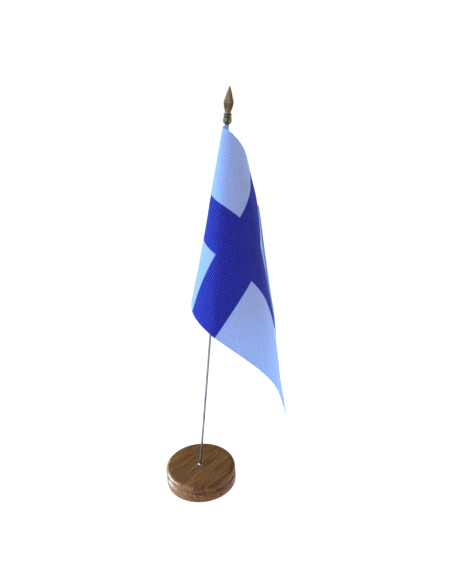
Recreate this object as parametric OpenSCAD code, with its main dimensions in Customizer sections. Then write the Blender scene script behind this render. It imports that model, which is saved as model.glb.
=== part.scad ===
// Desk flag stand: a turned wooden base, a leaning steel wire rod with a spear finial,
// and a small cross flag that hangs in folds from a sleeve round the rod.
// Origin: centre of the underside. +Z is up, and the rod leans towards +X.

/* [Base] */
// Diameter of the wooden base
base_d = 74; // [65:1:90]
// Thickness of the wood, without the felt
base_h = 20.5; // [19:0.5:26]
// Radius of the rounded upper edge
shoulder_r = 4.4; // [2:0.2:5]
// Radius of the rounded lower edge
foot_r = 2; // [1:0.2:3]
// Depth of the groove turned round the rim
groove_depth = 1.3; // [0.6:0.1:2]
// Height of the groove's middle above the underside
groove_z = 13.2; // [11:0.2:14]
// Thickness of the felt disc under the base
felt_t = 1; // [0.6:0.1:2]
// Bare wood left round the felt disc
felt_margin = 4; // [3:0.5:8]

/* [Rod] */
// Lean of the rod from the vertical, towards +X, in degrees
rod_lean = 7.6; // [0:0.2:10]
// Diameter of the wire rod
rod_d = 2.2; // [1.8:0.1:2.6]
// Depth of the rod's hole below the top of the base
hole_depth = 15; // [10:1:16]
// Length of rod between the top of the base and the finial
rod_free = 372; // [330:2:420]
// Radial play of the rod in the ferrule and in the finial
play = 0.05; // [0.02:0.01:0.1]
// Outer diameter of the ferrule's rim
rim_d = 4; // [3.8:0.1:5]

/* [Finial] */
// Diameter of the finial's ball
ball_d = 7.6; // [7:0.2:9]
// Diameter of the ring above the ball
ring_d = 7.1; // [6.6:0.1:7.6]
// Width of the spear blade
blade_w = 8.8; // [8:0.2:10]
// Thickness of the spear blade along its ridge
blade_t = 5; // [4:0.2:6]
// Length of the spear blade
blade_l = 22.7; // [18:0.1:28]
// Depth of the rod's socket in the finial
socket_depth = 7; // [4:0.5:8]

/* [Flag] */
// Height of the flag along the rod
flag_h = 150; // [140:1:155]
// Length of the flag away from the rod
flag_l = 236; // [225:1:245]
// Thickness of the cloth
cloth_t = 0.4; // [0.3:0.05:0.5]
// Outer diameter of the sleeve round the rod
sleeve_d = 4; // [3.8:0.1:5]
// Width of the hem that closes the sleeve
hem_w = 6; // [5:0.5:6.5]
// Direction in which the cloth leaves the rod, counted from +X in degrees
cloth_az = 239; // [230:1:250]

/* [Hidden] */
$fn = 96;
eps = 0.01;

// The base's heights and the rod's ends, measured along the rod from the top of the base.
top_z = felt_t + base_h;
finial_s = rod_free;
rod_top_s = finial_s + socket_depth;
rod_r = rod_d / 2;
bore_r = rod_r + play;

// The ferrule: a tube pressed into the wood, with a low rim round its mouth.
tube_r = bore_r + 0.5;
tube_l = 8;
rim_h = 0.6;
rim_sink = 0.35;

// The finial's heights above its lower end.
ring_z = 8.1;
ring_h = 1.9;
blade_z = 10;
collar_r = 2.8;
neck_r = 2.75;

// The sleeve and the seam. The sleeve's bore stays clear of the rod.
sleeve_bore_r = rod_r + 0.3;
sleeve_s = rod_free - 0.5;
stitch_l = 2.2;
stitch_pitch = 3.6;
stitch_d = 0.35;
seam_x = 4.6;

// The folds of the hanging cloth. Each row is a straight bend line drawn on the flat flag:
// where it meets the upper edge, in mm from the rod, and how many mm it runs outwards for
// each mm downwards. The cloth between two bend lines turns evenly through fold_turn.
bend_line = [[7, 0.13], [8.5, 0.59], [16.5, 0.59], [17, 0.88], [46, 0.99], [104, 0.95],
             [104.5, 2.7], [107, 2.72], [110, 2.8]];
fold_turn = [79, 33, 38, 44, 8, 3, -113, -70];
bends_per_fold = 8;
cloth_rows = 62;

// Columns of the cloth's grid: close together at the tight folds by the rod, and then as far
// apart as makes the grid's diagonals run along the outer fold.
near_cols = [6.6, 8.2, 10.5, 13.5, 17, 21, 26, 31.5];
far_col = 39.6;
col_step = 6.6;

function unit(v) = v / norm(v);

// A vector turned about a unit axis by an angle, by the right-hand rule.
function turned(v, axis, angle) =
    v * cos(angle) + cross(axis, v) * sin(angle) + axis * (axis * v) * (1 - cos(angle));

// Every bend: its place on the upper edge, its slope and its share of the turn.
bends = [for (i = [0:len(fold_turn) - 1], k = [0:bends_per_fold - 1])
    let (t = (k + 0.5) / bends_per_fold)
    concat(bend_line[i] * (1 - t) + bend_line[i + 1] * t, fold_turn[i] / bends_per_fold)];

// The flat pieces of cloth between the bends, each as its origin, the direction of the fly
// and the direction of the hoist, in the rod's own frame.
first_piece = [[0, 0, sleeve_s], [cos(cloth_az), sin(cloth_az), 0], [0, 0, -1]];
function bent(piece, bend) =
    let (hinge = piece[0] + piece[1] * bend[0],
         axis = -unit(piece[1] * bend[1] + piece[2]))
    [hinge + turned(piece[0] - hinge, axis, bend[2]),
     turned(piece[1], axis, bend[2]),
     turned(piece[2], axis, bend[2])];
function pieces_from(piece, i) =
    i == len(bends) ? [piece] : concat([piece], pieces_from(bent(piece, bends[i]), i + 1));
pieces = pieces_from(first_piece, 0);

// Where a point of the flat flag hangs: x from the rod, y from the upper edge, and side
// is the distance in front of the middle of the cloth.
function bends_before(x, y) = len([for (b = bends) if (x >= b[0] + b[1] * y) 1]);
function hung(x, y, side) =
    let (p = pieces[bends_before(x, y)])
    p[0] + p[1] * x + p[2] * y - cross(p[1], p[2]) * side;

// Everything on the rod is drawn in the rod's own frame.
module on_rod() {
    translate([0, 0, top_z]) rotate([0, rod_lean, 0]) children();
}

module ring_tube(r, bore, h) {
    difference() {
        cylinder(r = r, h = h);
        translate([0, 0, -eps]) cylinder(r = bore, h = h + 2 * eps);
    }
}

// An arc's points, about a centre, from one angle to another.
function arc(c, r, a0, a1, n) =
    [for (i = [0:n]) let (a = a0 + (a1 - a0) * i / n) c + r * [cos(a), sin(a)]];

// The turned outline: rounded foot, groove with soft lips, and rounded shoulder.
module base_outline() {
    r = base_d / 2;
    lip_r = 1.6;
    polygon(concat(
        [[0, felt_t], [r - foot_r, felt_t]],
        arc([r - foot_r, felt_t + foot_r], foot_r, -80, 0, 6),
        arc([r - lip_r, groove_z - groove_depth - lip_r], lip_r, 0, 70, 5),
        arc([r, groove_z], groove_depth, 250, 110, 8),
        arc([r - lip_r, groove_z + groove_depth + lip_r], lip_r, -70, 0, 5),
        arc([r - shoulder_r, top_z - shoulder_r], shoulder_r, 0, 90, 10),
        [[0, top_z]]));
}

module base_disc() {
    color("saddlebrown") difference() {
        rotate_extrude($fn = 128) base_outline();
        on_rod() {
            translate([0, 0, -hole_depth]) cylinder(r = bore_r, h = hole_depth);
            translate([0, 0, -tube_l]) cylinder(r = tube_r, h = tube_l);
            translate([0, 0, -rim_sink]) cylinder(r = rim_d / 2, h = rim_sink + 1);
        }
    }
}

module felt_pad() {
    color("darkolivegreen") cylinder(d = base_d - 2 * felt_margin, h = felt_t);
}

module rod_ferrule() {
    color("silver") on_rod() {
        translate([0, 0, -tube_l]) ring_tube(tube_r, bore_r, tube_l);
        translate([0, 0, -rim_sink]) ring_tube(rim_d / 2, bore_r, rim_sink + rim_h);
    }
}

// The rod stands on the bottom of its hole and ends inside the finial.
module rod() {
    color("lightsteelblue") on_rod()
        translate([0, 0, -hole_depth]) cylinder(r = rod_r, h = hole_depth + rod_top_s);
}

// Half the blade's width at a height t from 0 at the neck to 1 at the tip.
function blade_half(t) =
    t < 0.38 ? neck_r + (blade_w / 2 + 0.12 - neck_r) * pow(t / 0.38, 0.85)
             : blade_w / 2 * pow(1 - (t - 0.38) / 0.62, 0.85) + 0.12;

module spear_blade() {
    n = 14;
    flat = blade_t / blade_w;
    rings = [for (i = [0:n]) let (t = i / n, w = blade_half(t), z = blade_z + blade_l * t)
        [[w, 0, z], [0, w * flat, z], [-w, 0, z], [0, -w * flat, z]]];
    polyhedron(
        points = [for (ring = rings) each ring],
        faces = concat(
            [[0, 1, 2, 3]],
            [for (i = [0:n - 1], k = [0:3])
                [4 * i + k, 4 * i + 4 + k, 4 * i + 4 + (k + 1) % 4, 4 * i + (k + 1) % 4]],
            [[4 * n + 3, 4 * n + 2, 4 * n + 1, 4 * n]]));
}

// The turned part below the blade: ball, shoulder, collar, ring and neck.
module finial_outline() {
    ball_r = ball_d / 2;
    bottom_r = 2.1;
    bottom_a = -acos(bottom_r / ball_r);
    ball_z = -ball_r * sin(bottom_a);
    polygon(concat(
        [[0, 0]],
        arc([0, ball_z], ball_r, bottom_a, 20, 14),
        arc([ball_r - 1.4, 5.7], 1, 10, 60, 4),
        [[collar_r, ring_z - ring_h / 2 - 0.25]],
        arc([ring_d / 2 - ring_h / 2, ring_z], ring_h / 2, -75, 75, 8),
        [[neck_r, ring_z + ring_h / 2 + 0.2], [neck_r, blade_z + 0.6], [0, blade_z + 0.6]]));
}

module finial() {
    color("darkgoldenrod") on_rod() translate([0, 0, finial_s]) difference() {
        union() {
            rotate_extrude($fn = 64) finial_outline();
            spear_blade();
        }
        translate([0, 0, -eps]) cylinder(r = bore_r, h = socket_depth + eps);
    }
}

// The hoist edge of the cloth, folded round the rod and laid back on the flag.
module pole_sleeve() {
    hem_x0 = sleeve_d / 2 - 0.3;
    hem_z0 = 0.2;
    color("aliceblue") on_rod() translate([0, 0, sleeve_s - flag_h]) difference() {
        union() {
            cylinder(d = sleeve_d, h = flag_h);
            rotate([0, 0, cloth_az]) translate([hem_x0, cloth_t / 2, hem_z0])
                cube([hem_w - hem_x0, cloth_t, flag_h - 2 * hem_z0]);
        }
        translate([0, 0, -eps]) cylinder(r = sleeve_bore_r, h = flag_h + 2 * eps);
    }
}

// The hanging cloth: one closed skin over a grid of points in front of and behind it.
module flag_panel() {
    x0 = sleeve_d / 2 - 0.2;
    xs = concat([x0], near_cols, [for (x = [far_col:col_step:flag_l - 2]) x], [flag_l]);
    ys = [for (j = [0:cloth_rows]) flag_h * j / cloth_rows];
    n = len(xs);
    cloth_cols = n - 1;
    back = n * (cloth_rows + 1);
    border = concat(
        [for (i = [0:cloth_cols]) i],
        [for (j = [1:cloth_rows]) j * n + cloth_cols],
        [for (i = [1:cloth_cols]) cloth_rows * n + cloth_cols - i],
        [for (j = [1:cloth_rows - 1]) (cloth_rows - j) * n]);
    m = len(border);
    color("white") on_rod() polyhedron(
        points = [for (side = [1, -1], y = ys, x = xs) hung(x, y, side * cloth_t / 2)],
        faces = concat(
            [for (j = [0:cloth_rows - 1], i = [0:cloth_cols - 1]) let (a = j * n + i)
                each [[a, a + 1, a + n + 1], [a, a + n + 1, a + n]]],
            [for (j = [0:cloth_rows - 1], i = [0:cloth_cols - 1]) let (a = back + j * n + i)
                each [[a, a + n + 1, a + 1], [a, a + n, a + n + 1]]],
            [for (i = [0:m - 1]) let (a = border[i], b = border[(i + 1) % m])
                each [[a, back + b, b], [a, back + a, back + b]]]));
}

// One row of stitches through the hem and the flag. Each stitch shows on both faces.
module seam_thread() {
    count = floor((flag_h - stitch_l) / stitch_pitch);
    first = sleeve_s - flag_h + (flag_h - count * stitch_pitch - stitch_l) / 2;
    color("gainsboro") on_rod() rotate([0, 0, cloth_az])
        for (i = [0:count], face_y = [1.5 * cloth_t, -0.5 * cloth_t])
            translate([seam_x, face_y, first + i * stitch_pitch])
                cylinder(d = stitch_d, h = stitch_l, $fn = 16);
}

base_disc();
felt_pad();
rod_ferrule();
rod();
finial();
pole_sleeve();
flag_panel();
seam_thread();
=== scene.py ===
"""Desk flag stand: the looks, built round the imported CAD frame. Metres, row frame."""

import math

import bpy
import numpy as np
from mathutils import Matrix, Vector


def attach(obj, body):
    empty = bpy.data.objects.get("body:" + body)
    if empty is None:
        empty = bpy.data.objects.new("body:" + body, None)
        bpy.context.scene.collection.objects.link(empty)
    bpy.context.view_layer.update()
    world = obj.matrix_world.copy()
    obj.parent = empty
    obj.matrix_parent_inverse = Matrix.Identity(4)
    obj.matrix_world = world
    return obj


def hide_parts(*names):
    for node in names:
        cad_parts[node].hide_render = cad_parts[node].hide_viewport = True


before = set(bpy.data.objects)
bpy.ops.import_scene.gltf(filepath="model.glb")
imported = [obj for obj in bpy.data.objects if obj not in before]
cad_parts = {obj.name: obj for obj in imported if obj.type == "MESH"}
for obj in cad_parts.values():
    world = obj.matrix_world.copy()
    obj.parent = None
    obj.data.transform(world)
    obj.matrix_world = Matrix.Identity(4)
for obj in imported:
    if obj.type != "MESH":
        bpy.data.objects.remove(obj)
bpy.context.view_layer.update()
scene = bpy.context.scene
MM = 0.001

# ---------------------------------------------------------------- camera, lights and floor


def aim(obj, at):
    """Points a light's -Z at a place."""
    obj.rotation_euler = (Vector(at) - obj.location).to_track_quat("-Z", "Y").to_euler()


def make_camera():
    pitch, roll = math.radians(28.6), math.radians(-3.7)
    ahead = Vector((0, math.cos(pitch), -math.sin(pitch)))
    right = Vector((1, 0, 0))
    up = right.cross(ahead)
    right, up = (
        right * math.cos(roll) + up * math.sin(roll),
        up * math.cos(roll) - right * math.sin(roll),
    )
    data = bpy.data.cameras.new("Camera")
    data.sensor_width = 36
    data.lens = 800 * 36 / 584
    data.clip_start, data.clip_end = 0.02, 50
    cam = bpy.data.objects.new("Camera", data)
    turn = Matrix((right, up, -ahead)).transposed().to_4x4()
    cam.matrix_world = Matrix.Translation((0.0392, -0.6634, 0.5902)) @ turn
    scene.collection.objects.link(cam)
    scene.camera = cam


def area_light(name, place, at, size, power, colour, spread=180):
    data = bpy.data.lights.new(name, "AREA")
    data.shape = "RECTANGLE"
    data.size, data.size_y = size
    data.energy = power
    data.color = colour
    data.spread = math.radians(spread)
    obj = bpy.data.objects.new(name, data)
    obj.location = place
    aim(obj, at)
    scene.collection.objects.link(obj)


def make_studio():
    scene.view_settings.view_transform = "Standard"
    world = bpy.data.worlds.new("Studio")
    world.use_nodes = True
    back = world.node_tree.nodes["Background"]
    back.inputs["Color"].default_value = (0.82, 0.90, 1.0, 1)
    back.inputs["Strength"].default_value = 0.20
    scene.world = world
    area_light("Window", (-1.0, 0.05, 0.5), (0, 0, 0.2), (0.6, 0.9), 14, (0.14, 0.54, 0.88))
    area_light("Back_left", (-0.9, 0.6, 0.5), (0, 0, 0.25), (0.6, 0.9), 12, (0.24, 0.60, 0.76))
    area_light("Front_left", (-0.7, -0.75, 0.6), (0, 0, 0.2), (0.7, 0.8), 13, (0.66, 0.66, 0.88))
    area_light("Right", (1.0, -0.15, 0.5), (0.04, 0, 0.25), (0.6, 0.8), 10, (0.46, 0.44, 0.42))
    # A low pale strip aimed at the base, for the gloss on its left.
    area_light("Sill", (-0.54, 0.12, 0.10), (0, 0, 0.01), (0.60, 0.14), 1.6, (0.72, 0.88, 1), 40)

    mat, tree = new_material("studio_floor")
    grain = noise(tree, object_place(tree), 9.0, 2, 0.5)
    shade = ramp(tree, grain, [(0.3, (0.19, 0.19, 0.19)), (0.7, (0.21, 0.21, 0.21))])
    bsdf = principled(
        tree,
        **{
            "Base Color": shade,
            "Roughness": 0.9,
            "Specular IOR Level": 0.1,
            "Emission Color": (1.0, 1.0, 1.0),
            "Emission Strength": 0.98,
        },
    )
    surface(tree, bsdf)
    mesh = bpy.data.meshes.new("Floor")
    far = 30.0
    corners = [(-far, -far, 0), (far, -far, 0), (far, far, 0), (-far, far, 0)]
    mesh.from_pydata(corners, [], [(0, 1, 2, 3)])
    floor = bpy.data.objects.new("Floor", mesh)
    mesh.materials.append(mat)
    scene.collection.objects.link(floor)


# ---------------------------------------------------------------- node helpers


def new_material(name):
    mat = bpy.data.materials.new(name)
    mat.use_nodes = True
    mat.node_tree.nodes.clear()
    return mat, mat.node_tree


def put(tree, kind, inputs=None, **props):
    node = tree.nodes.new(kind)
    for key, value in props.items():
        setattr(node, key, value)
    for key, value in (inputs or {}).items():
        if isinstance(value, bpy.types.NodeSocket):
            tree.links.new(value, node.inputs[key])
        elif isinstance(value, tuple) and len(value) == 3 and node.inputs[key].type == "RGBA":
            node.inputs[key].default_value = (*value, 1)
        else:
            node.inputs[key].default_value = value
    return node


def object_place(tree):
    return put(tree, "ShaderNodeTexCoord").outputs["Object"]


def calc(tree, operation, a, b=0.0, c=0.0, clamp=False):
    node = put(tree, "ShaderNodeMath", {0: a, 1: b, 2: c}, operation=operation, use_clamp=clamp)
    return node.outputs[0]


def scaled(tree, vector, scale):
    return put(tree, "ShaderNodeMapping", {"Vector": vector, "Scale": scale}).outputs[0]


def turned(tree, vector, x=0.0, y=0.0, z=0.0):
    angles = tuple(math.radians(a) for a in (x, y, z))
    return put(tree, "ShaderNodeMapping", {"Vector": vector, "Rotation": angles}).outputs[0]


def noise(tree, vector, scale=1.0, detail=2.0, rough=0.5, warp=0.0):
    values = {"Vector": vector, "Scale": scale, "Detail": detail, "Roughness": rough}
    values["Distortion"] = warp
    return put(tree, "ShaderNodeTexNoise", values).outputs["Fac"]


def ramp(tree, factor, stops, interpolation="LINEAR"):
    node = put(tree, "ShaderNodeValToRGB", {"Fac": factor})
    node.color_ramp.interpolation = interpolation
    marks = node.color_ramp.elements
    while len(marks) < len(stops):
        marks.new(0.5)
    for mark, (place, value) in zip(marks, stops):
        mark.position = place
        mark.color = (*value, 1) if isinstance(value, tuple) else (value, value, value, 1)
    return node.outputs["Color"]


def blended(tree, factor, a, b, blend="MIX"):
    node = put(tree, "ShaderNodeMix", data_type="RGBA", blend_type=blend, clamp_factor=True)
    for index, value in ((0, factor), (6, a), (7, b)):
        if isinstance(value, bpy.types.NodeSocket):
            tree.links.new(value, node.inputs[index])
        else:
            node.inputs[index].default_value = value if index == 0 else (*value, 1)
    return node.outputs[2]


def bump(tree, height, strength, distance, normal=None):
    values = {"Height": height, "Strength": strength, "Distance": distance}
    if normal is not None:
        values["Normal"] = normal
    return put(tree, "ShaderNodeBump", values).outputs["Normal"]


def principled(tree, **inputs):
    return put(tree, "ShaderNodeBsdfPrincipled", inputs).outputs[0]


def surface(tree, shader):
    put(tree, "ShaderNodeOutputMaterial", {"Surface": shader})


# ---------------------------------------------------------------- materials


def wood_material():
    """Brown stained oak under clear lacquer. The fibres run across the disc at 45 degrees."""
    mat, tree = new_material("base_wood_lacquered")
    fibre = turned(tree, object_place(tree), z=-45)
    ring_space = turned(tree, fibre, x=16)
    drift = noise(tree, scaled(tree, ring_space, (14, 60, 60)), 1.0, 2, 0.5)
    streak = noise(tree, scaled(tree, ring_space, (26, 620, 200)), 1.0, 4, 0.62, 0.3)
    fine = noise(tree, scaled(tree, ring_space, (120, 2600, 900)), 1.0, 3, 0.6)
    apart = put(tree, "ShaderNodeSeparateXYZ", {0: ring_space})
    wander = noise(tree, scaled(tree, ring_space, (22, 70, 30)), 1.0, 2, 0.5)
    across = calc(tree, "MULTIPLY_ADD", apart.outputs[1], 300.0, calc(tree, "MULTIPLY", wander, 5.0))
    ring = calc(tree, "FRACT", across)
    late = ramp(tree, ring, [(0.0, 0.0), (0.62, 0.35), (0.86, 1.0), (1.0, 0.0)])
    tone = calc(tree, "ADD", calc(tree, "MULTIPLY", streak, 0.62), calc(tree, "MULTIPLY", fine, 0.38))
    base = ramp(
        tree,
        tone,
        [
            (0.34, (0.032, 0.010, 0.002)),
            (0.45, (0.082, 0.026, 0.005)),
            (0.54, (0.142, 0.049, 0.010)),
            (0.64, (0.350, 0.150, 0.044)),
        ],
    )
    base = blended(tree, calc(tree, "MULTIPLY", late, 0.35), base, (0.085, 0.028, 0.006))
    base = blended(tree, calc(tree, "MULTIPLY", drift, 0.45), base, (0.200, 0.074, 0.018))
    pore_noise = noise(tree, scaled(tree, ring_space, (170, 3600, 2600)), 1.0, 1, 0.5)
    pores = ramp(tree, pore_noise, [(0.60, 0.0), (0.70, 1.0)])
    base = blended(tree, calc(tree, "MULTIPLY", pores, 0.6), base, (0.030, 0.013, 0.006))
    rough = ramp(tree, tone, [(0.3, 0.42), (0.7, 0.56)])
    height = calc(tree, "SUBTRACT", calc(tree, "MULTIPLY", tone, 0.5), pores)
    normal = bump(tree, height, 0.35, 0.00012)
    coat_normal = bump(tree, noise(tree, scaled(tree, fibre, (90, 420, 420)), 1.0, 2, 0.5), 0.25, 0.00010)
    bsdf = principled(
        tree,
        **{
            "Base Color": base,
            "Roughness": rough,
            "Normal": normal,
            "Specular IOR Level": 0.12,
            "Coat Weight": 0.36,
            "Coat Roughness": 0.15,
            "Coat Normal": coat_normal,
        },
    )
    surface(tree, bsdf)
    return mat


def felt_material():
    mat, tree = new_material("felt_pressed")
    place = object_place(tree)
    fibres = noise(tree, place, 1800.0, 4, 0.7, 1.2)
    cloud = noise(tree, place, 160.0, 3, 0.6)
    mixed = calc(tree, "ADD", calc(tree, "MULTIPLY", fibres, 0.7), calc(tree, "MULTIPLY", cloud, 0.3))
    colour = ramp(tree, mixed, [(0.32, (0.006, 0.022, 0.012)), (0.68, (0.030, 0.070, 0.040))])
    bsdf = principled(
        tree,
        **{
            "Base Color": colour,
            "Roughness": 0.95,
            "Specular IOR Level": 0.15,
            "Sheen Weight": 0.35,
            "Sheen Roughness": 0.5,
            "Normal": bump(tree, mixed, 0.8, 0.0003),
        },
    )
    surface(tree, bsdf)
    return mat


def wire_material():
    """Drawn steel wire: long fine scratches along the rod and faint dull patches."""
    mat, tree = new_material("rod_drawn_wire")
    along = turned(tree, object_place(tree), y=-7.6)
    scratch = noise(tree, scaled(tree, along, (5200, 5200, 60)), 1.0, 3, 0.6)
    patch = noise(tree, scaled(tree, along, (300, 300, 70)), 1.0, 3, 0.6)
    colour = blended(
        tree,
        ramp(tree, patch, [(0.35, 0.0), (0.7, 1.0)]),
        ramp(tree, scratch, [(0.3, (0.16, 0.18, 0.20)), (0.7, (0.32, 0.36, 0.39))]),
        (0.11, 0.125, 0.135),
    )
    bsdf = principled(
        tree,
        **{
            "Base Color": colour,
            "Metallic": 1.0,
            "Roughness": ramp(tree, scratch, [(0.3, 0.20), (0.7, 0.36)]),
            "Normal": bump(tree, scratch, 0.25, 0.00003),
        },
    )
    surface(tree, bsdf)
    return mat


def ferrule_material():
    mat, tree = new_material("ferrule_plated")
    place = object_place(tree)
    cloud = noise(tree, place, 900.0, 3, 0.6)
    spots = ramp(tree, noise(tree, place, 3000.0, 2, 0.5), [(0.60, 0.0), (0.72, 1.0)])
    colour = ramp(tree, cloud, [(0.3, (0.42, 0.45, 0.49)), (0.7, (0.56, 0.60, 0.65))])
    colour = blended(tree, calc(tree, "MULTIPLY", spots, 0.5), colour, (0.20, 0.21, 0.22))
    bsdf = principled(
        tree,
        **{
            "Base Color": colour,
            "Metallic": 1.0,
            "Roughness": ramp(tree, cloud, [(0.3, 0.16), (0.7, 0.32)]),
            "Normal": bump(tree, cloud, 0.15, 0.00005),
        },
    )
    surface(tree, bsdf)
    return mat


def bronze_material():
    """Antique bronze: dark in the hollows, rubbed bright on ridges and rings."""
    mat, tree = new_material("finial_antique_bronze")
    place = object_place(tree)
    cloud = noise(tree, place, 420.0, 4, 0.6, 0.4)
    speck = noise(tree, place, 2600.0, 3, 0.6)
    edge = put(tree, "ShaderNodeNewGeometry").outputs["Pointiness"]
    worn = ramp(tree, edge, [(0.50, 0.0), (0.56, 1.0)])
    dark = ramp(tree, speck, [(0.3, (0.034, 0.022, 0.010)), (0.7, (0.090, 0.062, 0.028))])
    body = blended(tree, ramp(tree, cloud, [(0.35, 0.0), (0.7, 1.0)]), dark, (0.120, 0.083, 0.038))
    colour = blended(tree, calc(tree, "MULTIPLY", worn, 0.7), body, (0.30, 0.22, 0.115))
    bsdf = principled(
        tree,
        **{
            "Base Color": colour,
            "Metallic": 0.9,
            "Roughness": ramp(tree, cloud, [(0.3, 0.28), (0.7, 0.46)]),
            "Normal": bump(tree, calc(tree, "ADD", cloud, speck), 0.25, 0.00008),
        },
    )
    surface(tree, bsdf)
    return mat


# The cross's arms on the flat flag, in mm from the rod and from the upper edge.
CROSS_X, CROSS_Y = (64.0, 103.5), (54.0, 91.5)


def knit(tree, uv_map, width, height):
    """Place on the flat cloth in millimetres, and the mesh knit's ribs and loops.

    The ribs run 18 degrees off the fly, 1.8 mm apart, and the loops follow along them."""
    uv = put(tree, "ShaderNodeUVMap", uv_map=uv_map).outputs[0]
    apart = put(tree, "ShaderNodeSeparateXYZ", {0: uv})
    x = calc(tree, "MULTIPLY", apart.outputs[0], width / MM)
    y = calc(tree, "MULTIPLY", apart.outputs[1], height / MM)
    uneven = calc(tree, "MULTIPLY", noise(tree, uv, 90.0, 2, 0.5), 0.6)
    waves = []
    for per_x, per_y in ((-0.165, 0.52), (0.55, 0.06)):
        phase = calc(tree, "MULTIPLY_ADD", x, per_x, calc(tree, "MULTIPLY_ADD", y, per_y, uneven))
        wave = calc(tree, "COSINE", calc(tree, "MULTIPLY", phase, 2 * math.pi))
        waves.append(calc(tree, "MULTIPLY_ADD", wave, 0.5, 0.5))
    return x, y, waves[0], waves[1]


def cloth_material(name, uv_map, width, height):
    """Thin knitted polyester, white with a blue cross dyed through it."""
    mat, tree = new_material(name)
    x, y, rib, loop = knit(tree, uv_map, width, height)
    thread = calc(tree, "MULTIPLY_ADD", rib, 0.68, calc(tree, "MULTIPLY", loop, 0.32))
    thread = ramp(tree, thread, [(0.18, 0.0), (0.82, 1.0)])
    white = blended(tree, thread, (0.33, 0.43, 0.68), (0.62, 0.72, 0.95))
    uv = put(tree, "ShaderNodeUVMap", uv_map=uv_map).outputs[0]
    bleed = noise(tree, uv, 400.0, 2, 0.5)
    wobble = calc(tree, "MULTIPLY", calc(tree, "SUBTRACT", bleed, 0.5), 0.5)
    arms = None
    for place, (low, high) in ((x, CROSS_X), (y, CROSS_Y)):
        middle, half = (low + high) / 2, (high - low) / 2
        off = calc(tree, "ABSOLUTE", calc(tree, "SUBTRACT", calc(tree, "ADD", place, wobble), middle))
        inside = calc(tree, "MULTIPLY_ADD", calc(tree, "SUBTRACT", half, off), 2.5, 0.5, clamp=True)
        arms = inside if arms is None else calc(tree, "MAXIMUM", arms, inside)
    blue = blended(tree, thread, (0.002, 0.003, 0.05), (0.066, 0.084, 0.74))
    colour = blended(tree, arms, white, blue)
    height_map = calc(tree, "ADD", calc(tree, "MULTIPLY", rib, 0.5), calc(tree, "MULTIPLY", loop, 0.5))
    normal = bump(tree, height_map, 0.45, 0.00012)
    bsdf = principled(
        tree,
        **{
            "Base Color": colour,
            "Roughness": 0.7,
            "Specular IOR Level": 0.15,
            "Normal": normal,
        },
    )
    through = put(tree, "ShaderNodeBsdfTranslucent", {"Color": colour, "Normal": normal}).outputs[0]
    mix = put(tree, "ShaderNodeMixShader", {0: 0.50, 1: bsdf, 2: through}).outputs[0]
    surface(tree, mix)
    return mat


def thread_material():
    mat, tree = new_material("seam_white_thread")
    place = turned(tree, object_place(tree), y=-7.6)
    wave = noise(tree, scaled(tree, place, (5000, 5000, 1500)), 1.0, 2, 0.5)
    colour = ramp(tree, wave, [(0.3, (0.50, 0.58, 0.80)), (0.7, (0.74, 0.80, 0.95))])
    bsdf = principled(
        tree,
        **{
            "Base Color": colour,
            "Roughness": 0.55,
            "Sheen Weight": 0.2,
            "Sheen Roughness": 0.4,
            "Normal": bump(tree, wave, 0.4, 0.00004),
        },
    )
    surface(tree, bsdf)
    return mat


# ---------------------------------------------------------------- mesh helpers

LEAN = math.radians(7.6)
TOP_Z = 0.0215
ON_ROD = Matrix.Translation((0, 0, TOP_Z)) @ Matrix.Rotation(LEAN, 4, "Y")


def make_piece(name, points, faces, material, body, node, matrix=None, uv=None):
    """One finished piece: its mesh, smooth shading, material and body, with its CAD node hidden."""
    mesh = bpy.data.meshes.new(name)
    if matrix is not None:
        m = np.array(matrix)
        points = np.asarray(points, float) @ m[:3, :3].T + m[:3, 3]
    mesh.from_pydata([tuple(p) for p in points], [], [tuple(f) for f in faces])
    mesh.validate()
    mesh.update()
    mesh.shade_smooth()
    if uv is not None:
        uv_name, per_point = uv
        layer = mesh.uv_layers.new(name=uv_name)
        index = np.zeros(len(mesh.loops), np.int32)
        mesh.loops.foreach_get("vertex_index", index)
        layer.data.foreach_set("uv", np.asarray(per_point, np.float32)[index].ravel())
    mesh.materials.append(material)
    obj = bpy.data.objects.new(name, mesh)
    scene.collection.objects.link(obj)
    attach(obj, body)
    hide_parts(node)
    return obj


def lathe(profile, count, closed=False):
    """Points and faces of a turned shape from (radius, height) pairs. The faces look outwards
    where the pairs run counter-clockwise in section. A pair on the axis is one point."""
    points, rows = [], []
    for r, z in profile:
        if r < 1e-9:
            rows.append([len(points)])
            points.append((0, 0, z))
        else:
            rows.append(list(range(len(points), len(points) + count)))
            points += [
                (r * math.cos(2 * math.pi * k / count), r * math.sin(2 * math.pi * k / count), z)
                for k in range(count)
            ]
    faces = []
    pairs = list(zip(rows, rows[1:])) + ([(rows[-1], rows[0])] if closed else [])
    for a, b in pairs:
        for k in range(count):
            n = (k + 1) % count
            if len(a) == 1:
                faces.append((a[0], b[n], b[k]))
            elif len(b) == 1:
                faces.append((a[k], a[n], b[0]))
            else:
                faces.append((a[k], a[n], b[n], b[k]))
    return np.array(points), faces


def arc(cx, cz, r, a0, a1, n):
    """(radius, height) pairs on an arc, angles in degrees."""
    angles = [math.radians(a0 + (a1 - a0) * i / n) for i in range(n + 1)]
    return [(cx + r * math.cos(a), cz + r * math.sin(a)) for a in angles]


def line(p, q, n):
    """n points between p and q, without p."""
    return [tuple(np.array(p) + (np.array(q) - np.array(p)) * i / n) for i in range(1, n + 1)]


# ---------------------------------------------------------------- base


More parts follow.
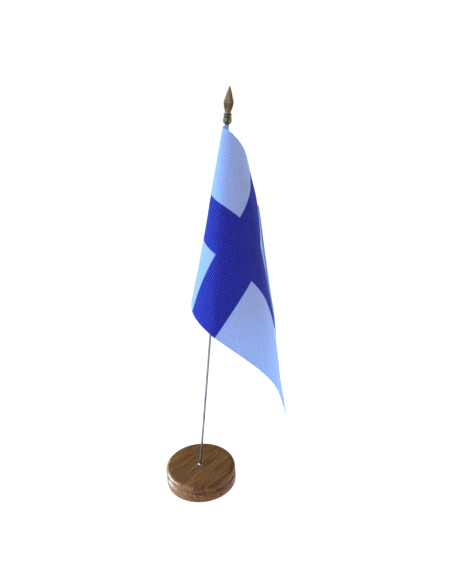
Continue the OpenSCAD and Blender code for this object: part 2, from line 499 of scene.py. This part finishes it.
def make_base():
    r, felt, top = 37.0, 1.0, 21.5
    shoulder, foot, groove, groove_z, lip = 4.4, 2.0, 1.3, 13.2, 1.6
    p = [(0, top - 15), (1.15, top - 15), (1.15, top - 8), (1.65, top - 8)]
    p += [(1.65, top - 0.35), (2.0, top - 0.35), (2.0, top - 0.1), (2.1, top)]
    p += line((2.1, top), (r - shoulder - 0.6, top), 24)
    p += arc(r - shoulder, top - shoulder, shoulder, 90, 0, 20)
    p += arc(r - lip, groove_z + groove + lip, lip, 0, -70, 10)
    p += arc(r, groove_z, groove, 110, 250, 18)
    p += arc(r - lip, groove_z - groove - lip, lip, 70, 0, 10)
    p += arc(r - foot, felt + foot, foot, 0, -88, 12)
    p += line((r - foot, felt), (0, felt), 14)
    points, faces = lathe(p, 224)
    faces = [f[::-1] for f in faces]  # this profile runs the other way round
    # The hole leans with the rod: its walls slide over by the depth below the top.
    inner = (np.hypot(points[:, 0], points[:, 1]) < 2.05) & (points[:, 2] > felt + 1)
    points[inner, 0] += (points[inner, 2] - top) * math.tan(LEAN)
    return make_piece(
        "base_disc_turned", points * MM, faces, wood_material(), "base", "base_disc"
    )


def make_felt():
    r, t = 33.0, 1.0
    p = [(0, 0.04)] + line((0, 0.04), (r - 0.5, 0.0), 22) + arc(r - 0.35, 0.35, 0.35, -80, 0, 5)
    p += arc(r - 0.3, t - 0.3, 0.3, 0, 80, 4) + line((r - 0.4, t), (0, t), 8)
    points, faces = lathe(p, 180)
    rng = np.random.default_rng(7)
    a = np.arctan2(points[:, 1], points[:, 0])
    radius = np.hypot(points[:, 0], points[:, 1])
    rim = np.clip((radius - (r - 1.5)) / 1.5, 0, 1)
    wave = sum(
        rng.uniform(0.4, 1) * np.sin(k * a + rng.uniform(0, 6.3)) / k**0.5 for k in (3, 7, 13, 29, 47)
    )
    pull = 1 - rim * (0.25 + 0.10 * wave) / r
    points[:, 0] *= pull
    points[:, 1] *= pull
    soft = (points[:, 2] < 0.3) & (radius > 0)
    points[soft, 2] += 0.03 * (1 + np.sin(0.9 * points[soft, 0] + 1) * np.sin(1.1 * points[soft, 1]))
    return make_piece(
        "felt_pad_pressed", points * MM, faces, felt_material(), "base", "felt_pad"
    )


def make_ferrule():
    bore, tube, rim = 1.15, 1.65, 2.0
    p = [(bore, -8), (tube, -8), (tube, -0.35), (rim, -0.35), (rim, 0.25)]
    p += arc(rim - 0.35, 0.25, 0.35, 15, 90, 8)
    p += arc(bore + 0.15, 0.45, 0.15, 90, 180, 5)
    p += [(bore, 0.2), (bore, -4)]
    points, faces = lathe(p, 72, closed=True)
    return make_piece(
        "rod_ferrule_rim",
        points * MM,
        faces,
        ferrule_material(),
        "base",
        "rod_ferrule",
        ON_ROD,
    )


# ---------------------------------------------------------------- rod and finial

ROD_FREE = 372.0
SLEEVE_S = ROD_FREE - 0.5


def make_rod():
    r, low, high = 1.1, -15.0, ROD_FREE + 7
    p = [(0, low)] + arc(r - 0.25, low + 0.25, 0.25, -90, 0, 5)
    p += line((r, low + 0.25), (r, high - 0.25), 120)
    p += arc(r - 0.25, high - 0.25, 0.25, 0, 90, 5) + [(0, high)]
    points, faces = lathe(p, 40)
    # Wire is never quite straight: it wanders by a few hundredths of a millimetre.
    free = np.clip((points[:, 2] - 6) / 40, 0, 1) * np.clip((ROD_FREE - 4 - points[:, 2]) / 40, 0, 1)
    points[:, 0] += 0.05 * free * np.sin(points[:, 2] / 41)
    points[:, 1] += 0.05 * free * np.sin(points[:, 2] / 57 + 1)
    return make_piece(
        "rod_wire", points * MM, faces, wire_material(), "rod", "rod", ON_ROD
    )


def blade_half(t):
    if t < 0.38:
        return 2.75 + (4.52 - 2.75) * (t / 0.38) ** 0.85
    return 4.4 * (1 - (t - 0.38) / 0.62) ** 0.85 + 0.12


def make_finial():
    """Socket, ball, collar, ring and neck, and a four-sided blade that grows out of the neck."""
    per = 28
    bore, socket = 1.15, 7.0
    ball, bottom, neck, foot_z, length = 3.8, 2.1, 2.7, 10.0, 22.7
    low = -math.degrees(math.acos(bottom / ball))
    centre = -ball * math.sin(math.radians(low))
    turned_part = [(0.02, socket), (bore, socket), (bore, 0.15), (bore + 0.15, 0)]
    turned_part += [(bottom - 0.2, 0)] + arc(0, centre, ball, low + 2, 18, 24)
    turned_part += [(3.52, 5.0), (3.46, 5.5)] + arc(2.42, 5.72, 1.0, 12, 56, 6)
    turned_part += [(2.86, 6.66), (2.76, 6.8), (2.74, 6.95), (2.8, 7.1)]
    turned_part += arc(2.6, 8.1, 0.95, -72, 74, 18)
    turned_part += [(2.78, 9.14), (2.71, 9.3), (neck, 9.6), (neck, 9.9)]
    steps = []
    for q in range(4):
        for k in range(per):
            s = k / per
            steps.append((q, 0.5 - 0.5 * math.cos(math.pi * s) if 0 < k < per else s))
    rings = []
    for r, z in turned_part:
        rings.append([(r * math.cos((q + s) * math.pi / 2), r * math.sin((q + s) * math.pi / 2), z)
                      for q, s in steps])
    n = 54
    flat = 5.0 / 8.8
    for i in range(1, n + 1):
        t = (i / n) ** 0.92
        half = blade_half(t)
        z = foot_z + length * t
        square = min(1.0, t / 0.16)
        square = square * square * (3 - 2 * square)
        ring = []
        for q, s in steps:
            corners = [(half, 0), (0, half * flat), (-half, 0), (0, -half * flat)]
            (ax, ay), (bx, by) = corners[q], corners[(q + 1) % 4]
            # Each facet is a little hollow, and the ridges are slightly rounded.
            hollow = 0.055 * math.sin(math.pi * s) ** 2
            fx, fy = ax + (bx - ax) * s, ay + (by - ay) * s
            fx, fy = fx * (1 - hollow), fy * (1 - hollow)
            edge = 1 - 0.035 * math.exp(-((min(s, 1 - s) / 0.05) ** 2))
            fx, fy = fx * edge, fy * edge
            c = (neck * math.cos((q + s) * math.pi / 2), neck * math.sin((q + s) * math.pi / 2))
            ring.append((c[0] + (fx - c[0]) * square, c[1] + (fy - c[1]) * square, z))
        rings.append(ring)
    count = 4 * per
    points = [p for ring in rings for p in ring]
    faces = []
    for j in range(len(rings) - 1):
        for k in range(count):
            a, b = j * count + k, j * count + (k + 1) % count
            faces.append((a, b, b + count, a + count))
    socket_end = len(points)
    points.append((0, 0, socket))
    faces += [(socket_end, (k + 1) % count, k) for k in range(count)]
    tip = len(points)
    last = (len(rings) - 1) * count
    points.append((0, 0, foot_z + length + 0.05))
    faces += [(tip, last + k, last + (k + 1) % count) for k in range(count)]
    matrix = ON_ROD @ Matrix.Translation((0, 0, ROD_FREE * MM))
    return make_piece(
        "finial_spear",
        np.array(points) * MM,
        faces,
        bronze_material(),
        "finial",
        "finial",
        matrix,
    )


# ---------------------------------------------------------------- cloth

FLAG_L, FLAG_H = 236.0, 150.0
# Where the panel begins and the sleeve ends, and where the seam runs, in mm from the rod.
JOIN_X, SEAM_X = 3.4, 4.6
HEM_GAP = 0.06
CLOTH_AZ = math.radians(239)
CLOTH_T = 0.28
# Bend lines drawn on the flat flag, as in the design: where each meets the upper edge, in mm
# from the rod, its mm outwards for each mm downwards, and the turns between them in degrees.
BEND_LINE = [(7, 0.13), (8.5, 0.59), (16.5, 0.59), (17, 0.88), (46, 0.99), (104, 0.95), (104.5, 2.7),
             (107, 2.72), (110, 2.8)]
FOLD_TURN = [79, 33, 38, 44, 8, 3, -113, -70]
BENDS = 30


def hang(x, y):
    """Places on the hanging cloth, in the rod's frame, with the two cloth directions there."""
    places, slopes, turns = [], [], []
    for (a0, b0), (a1, b1), turn in zip(BEND_LINE, BEND_LINE[1:], FOLD_TURN):
        for k in range(BENDS):
            t = (k + 0.5) / BENDS
            places.append(a0 + (a1 - a0) * t)
            slopes.append(b0 + (b1 - b0) * t)
            turns.append(math.radians(turn / BENDS))
    origin = np.array([0, 0, SLEEVE_S])
    fly = np.array([math.cos(CLOTH_AZ), math.sin(CLOTH_AZ), 0])
    hoist = np.array([0, 0, -1.0])
    frames = [(origin, fly, hoist)]
    for place, slope, turn in zip(places, slopes, turns):
        hinge = origin + fly * place
        axis = -(fly * slope + hoist)
        axis /= np.linalg.norm(axis)
        c, s = math.cos(turn), math.sin(turn)

        def spin(v):
            return v * c + np.cross(axis, v) * s + axis * (axis @ v) * (1 - c)

        origin = hinge + spin(origin - hinge)
        fly, hoist = spin(fly), spin(hoist)
        frames.append((origin, fly, hoist))
    before = sum((x >= a + b * y).astype(int) for a, b in zip(places, slopes))
    o, p, q = (np.array([f[i] for f in frames])[before] for i in range(3))
    at = o + p * x[:, None] + q * y[:, None]
    return at, p, q


def soft_waves(x, y):
    """Small swells of the cloth, in mm along its normal. They fade out towards the rod and the
    outer fold, and the corner folded behind follows the cloth in front of it."""
    start, slope = BEND_LINE[-2]
    beyond = (x - start - slope * y) / math.hypot(1, slope)
    over = 2 * np.maximum(beyond, 0) / math.hypot(1, slope)
    x, y = x - over, y + over * slope
    swell = 0.45 * np.sin(x / 17 + y / 31 + 0.6) + 0.35 * np.sin(x / 29 - y / 19 + 2.0)
    swell += 0.22 * np.sin(x / 9.5 + y / 14 + 1.0) * np.sin(y / 23)
    for t in (np.clip((x - 9) / 45, 0, 1), np.clip(np.abs(beyond) / 12, 0, 1)):
        swell = swell * t * t * (3 - 2 * t)
    return np.where(beyond > 0, -swell, swell)


def cloth_skin(points, normals, thickness, rows, cols):
    """A closed skin round a grid of middle points: front, back and a rounded border."""
    half = (thickness / 2)[:, None]
    front, back = points + normals * half, points - normals * half
    n = rows * cols
    grid = np.arange(n).reshape(rows, cols)
    faces = []
    for j in range(rows - 1):
        for i in range(cols - 1):
            a, b, c, d = grid[j, i], grid[j, i + 1], grid[j + 1, i + 1], grid[j + 1, i]
            faces.append((a, d, c, b))
            faces.append((n + a, n + b, n + c, n + d))
    loop = list(grid[0, :]) + list(grid[1:, -1]) + list(grid[-1, -2::-1]) + list(grid[-2:0:-1, 0])
    inner = {}
    for j in range(rows):
        for i in range(cols):
            if j in (0, rows - 1) or i in (0, cols - 1):
                inner[grid[j, i]] = grid[min(max(j, 1), rows - 2), min(max(i, 1), cols - 2)]
    edge = []
    for k in loop:
        out = points[k] - points[inner[k]]
        edge.append(points[k] + out / np.linalg.norm(out) * thickness[k] * 0.35)
    first = 2 * n
    m = len(loop)
    for k in range(m):
        a, b = loop[k], loop[(k + 1) % m]
        e, f = first + k, first + (k + 1) % m
        faces.append((a, b, f, e))
        faces.append((e, f, n + b, n + a))
    return np.vstack([front, back, np.array(edge)]), faces, loop


def make_flag(material):
    near = [0, 0.35, 0.8, 1.5]
    span = list(np.linspace(JOIN_X + 0.6, 25, 36)) + list(np.linspace(26, FLAG_L - 2.4, 190))
    xs = np.array([JOIN_X] + span + [FLAG_L - d for d in near[::-1]])
    ys = np.array(near + list(np.linspace(2.4, FLAG_H - 2.4, 132)) + [FLAG_H - d for d in near[::-1]])
    rows, cols = len(ys), len(xs)
    gx, gy = np.meshgrid(xs, ys)
    x, y = gx.ravel(), gy.ravel()
    at, fly, hoist = hang(x, y)
    # Smooth normals from the neighbours, so that the swells run over the bends without a step.
    grid = at.reshape(rows, cols, 3)
    along = np.gradient(grid, axis=1).reshape(-1, 3)
    down = np.gradient(grid, axis=0).reshape(-1, 3)
    normal = -np.cross(along, down)
    normal /= np.linalg.norm(normal, axis=1)[:, None]
    at = at + normal * soft_waves(x, y)[:, None]
    to_edge = np.minimum(np.minimum(y, FLAG_H - y), FLAG_L - x)
    thickness = CLOTH_T + 0.14 * np.exp(-((to_edge / 0.5) ** 2))
    points, faces, loop = cloth_skin(at, normal, thickness, rows, cols)
    flat = np.stack([x / FLAG_L, y / FLAG_H], 1)
    uv = np.vstack([flat, flat, flat[loop]])
    return make_piece(
        "flag_panel_cloth",
        points * MM,
        faces,
        material,
        "flag",
        "flag_panel",
        ON_ROD,
        ("flat", uv),
    )


def make_sleeve(material):
    """The hoist edge: laid back on the flag, round the rod and on into the panel."""
    r = 1.72
    back_y = CLOTH_T + HEM_GAP
    path = [(6.0 - 2.5 * i / 12, back_y) for i in range(13)]
    start = (3.5, back_y)
    a_in = math.radians(38)
    first = (r * math.cos(a_in), r * math.sin(a_in))
    for i in range(1, 9):
        t = i / 9
        u = 3 * t * t - 2 * t * t * t
        path.append((start[0] + (first[0] - start[0]) * t, start[1] + (first[1] - start[1]) * u))
    around = 44
    for i in range(around + 1):
        a = a_in + (2 * math.pi - a_in - math.radians(30)) * i / around
        path.append((r * math.cos(a), r * math.sin(a)))
    last = path[-1]
    for i in range(1, 11):
        t = i / 10
        u = 3 * t * t - 2 * t * t * t
        path.append((last[0] + (JOIN_X - last[0]) * t, last[1] + (0.0 - last[1]) * u))
    path = np.array(path)
    cols = len(path)
    ys = np.array([0, 0.35, 0.8, 1.5] + list(np.linspace(2.4, FLAG_H - 2.4, 168))
                  + [FLAG_H - d for d in (1.5, 0.8, 0.35, 0)])
    rows = len(ys)
    length = np.concatenate([[0], np.cumsum(np.hypot(*np.diff(path, axis=0).T))])
    tangent = np.gradient(path, axis=0)
    tangent /= np.hypot(tangent[:, 0], tangent[:, 1])[:, None]
    out = np.stack([tangent[:, 1], -tangent[:, 0]], 1)
    loose = np.sin(np.clip((length - 2.5) / (length[-1] - 2.5), 0, 1) * math.pi)
    gi, gj = np.meshgrid(np.arange(cols), np.arange(rows))
    i, j = gi.ravel(), gj.ravel()
    y = ys[j]
    pucker = 0.05 * np.sin(2 * math.pi * y / 3.6) + 0.07 * np.sin(y / 6.1 + 1.3 * np.sin(y / 17))
    pucker = pucker * loose[i] * np.sin(length[i] * 0.9 + y / 11)
    place = path[i] + out[i] * pucker[:, None]
    c, s = math.cos(CLOTH_AZ), math.sin(CLOTH_AZ)
    turn = lambda v: np.stack([v[:, 0] * c - v[:, 1] * s, v[:, 0] * s + v[:, 1] * c], 1)  # noqa: E731
    xy, normal_xy = turn(place), turn(out[i])
    at = np.column_stack([xy, SLEEVE_S - y])
    normal = np.column_stack([normal_xy, np.zeros(len(y))])
    thickness = np.full(len(y), CLOTH_T) + 0.02 * np.exp(-((np.minimum(y, FLAG_H - y) / 0.5) ** 2))
    points, faces, loop = cloth_skin(at, normal, thickness, rows, cols)
    # Flat place of the strip: it runs on from the panel's own start.
    flat = np.stack([(JOIN_X - (length[-1] - length[i])) / FLAG_L, y / FLAG_H], 1)
    uv = np.vstack([flat, flat, flat[loop]])
    return make_piece(
        "pole_sleeve_cloth",
        points * MM,
        faces,
        material,
        "flag",
        "pole_sleeve",
        ON_ROD,
        ("flat", uv),
    )


def make_seam():
    """A row of lockstitches through hem and flag, two twisted plies to a stitch."""
    points, faces = [], []
    pitch, length = 3.6, 3.0
    count = int((FLAG_H - length) / pitch)
    first = (FLAG_H - count * pitch - length) / 2
    c, s = math.cos(CLOTH_AZ), math.sin(CLOTH_AZ)
    around, steps = 10, 12
    for side in (1, -1):
        surface_y = CLOTH_T * 1.5 + HEM_GAP if side > 0 else -CLOTH_T / 2
        for k in range(count + 1):
            z0 = SLEEVE_S - first - k * pitch
            base = len(points)
            for i in range(steps + 1):
                t = i / steps
                rise = 0.13 * math.sin(math.pi * t) ** 0.5 - 0.10
                lean_x = 0.10 * math.sin(2 * math.pi * t) * side
                swell = 0.17 * (0.35 + 0.65 * math.sin(math.pi * min(max(t, 0.04), 0.96)) ** 0.4)
                for a in range(around):
                    angle = 2 * math.pi * a / around
                    ply = swell * (1 + 0.14 * math.cos(2 * (angle - 5.0 * t * math.pi)))
                    x = SEAM_X + lean_x + ply * math.cos(angle)
                    y = surface_y + side * rise + ply * math.sin(angle)
                    points.append((x * c - y * s, x * s + y * c, z0 - length * t))
            for i in range(steps):
                for a in range(around):
                    p, q = base + i * around + a, base + i * around + (a + 1) % around
                    faces.append((p, p + around, q + around, q))
            faces.append(tuple(base + a for a in range(around)))
            faces.append(tuple(base + steps * around + a for a in reversed(range(around))))
    return make_piece(
        "seam_thread_stitches",
        np.array(points) * MM,
        faces,
        thread_material(),
        "flag",
        "seam_thread",
        ON_ROD,
    )


make_camera()
make_studio()
make_base()
make_felt()
make_ferrule()
make_rod()
make_finial()
panel_cloth = cloth_material("flag_knit_cross", "flat", FLAG_L * MM, FLAG_H * MM)
sleeve_cloth = cloth_material("sleeve_knit", "flat", FLAG_L * MM, FLAG_H * MM)
flag = make_flag(panel_cloth)
sleeve = make_sleeve(sleeve_cloth)
seam = make_seam()
